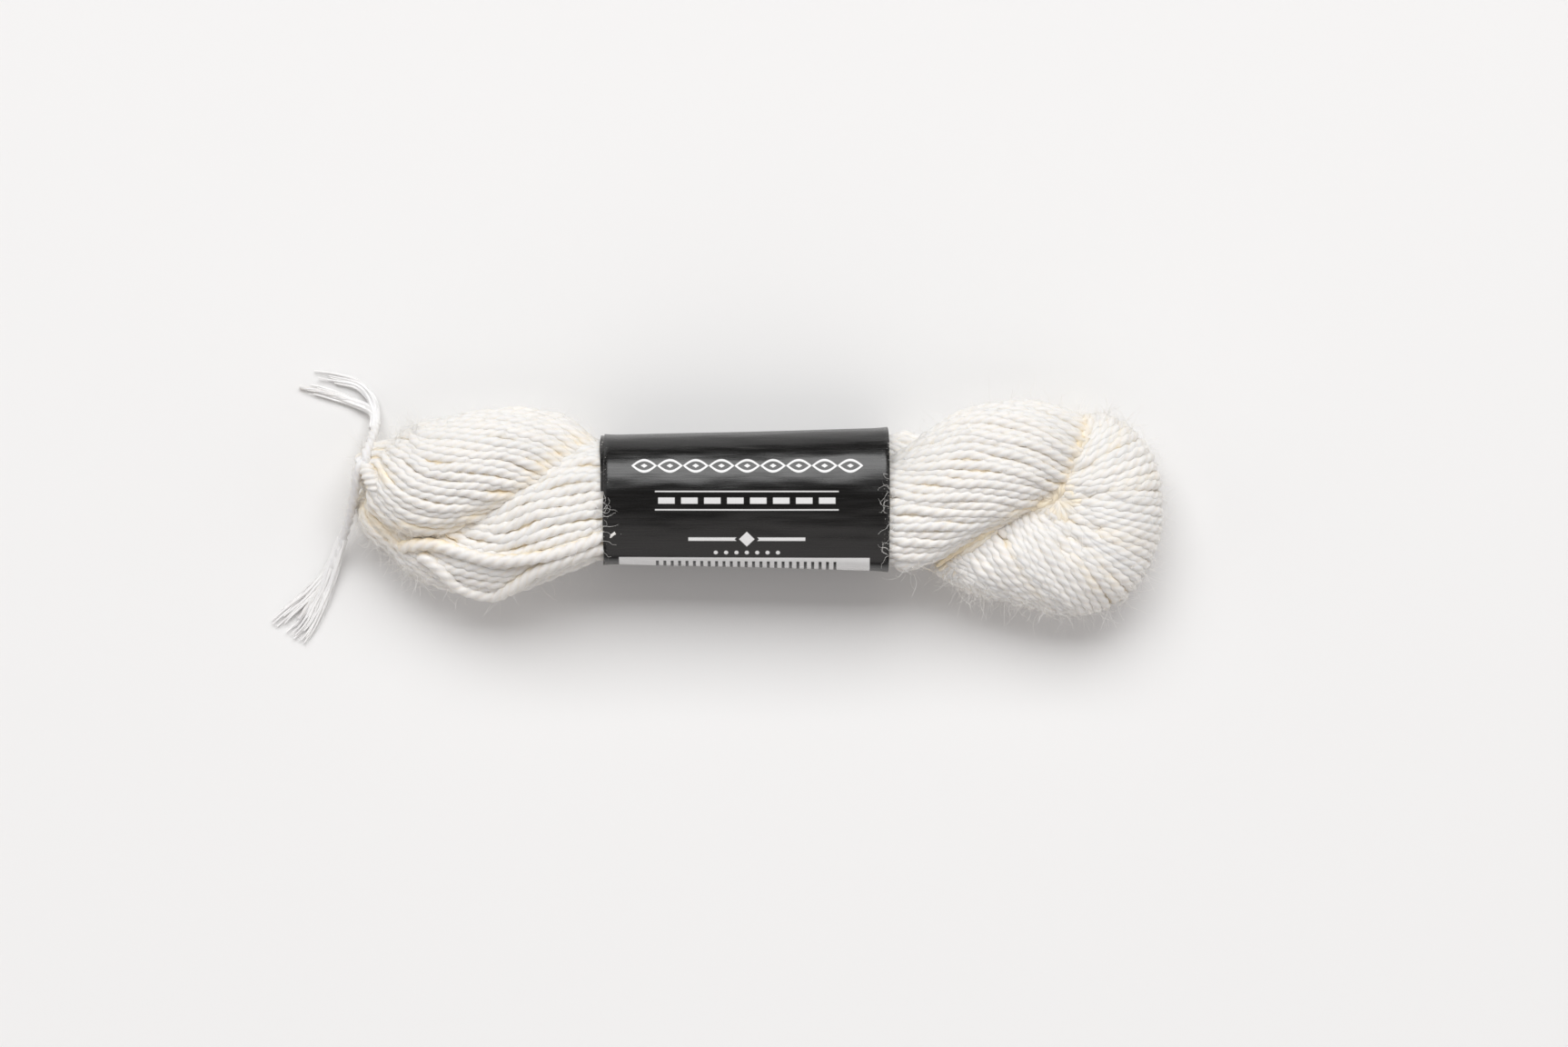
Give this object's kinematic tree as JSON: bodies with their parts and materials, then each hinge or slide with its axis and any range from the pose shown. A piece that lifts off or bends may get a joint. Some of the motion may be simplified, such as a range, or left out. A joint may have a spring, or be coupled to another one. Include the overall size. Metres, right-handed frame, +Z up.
{
  "type": "skein of embroidery floss",
  "caption": "Small twisted hank of cream silk embroidery floss with a black paper band round its waist and a knotted tie thread at one end.",
  "frame": {"origin": "on the surface that the hank lies on, under the middle of its length and width, without the loose tie ends", "axes": "+X along the hank, from the tied end to the looped head; +Z up; +Y across it"},
  "size_m": [0.1194, 0.0344, 0.0175],
  "materials": {
    "silk_thread": "spun silk, soft sheen",
    "band_paper": "gloss coated",
    "tie_thread": "spun silk, soft sheen"
  },
  "bodies": {
    "root": {"hank": "silk_thread", "band": "band_paper", "tie_turn": "tie_thread", "tie_end_upper": "tie_thread", "tie_end_lower": "tie_thread"}
  },
  "joints": []
}
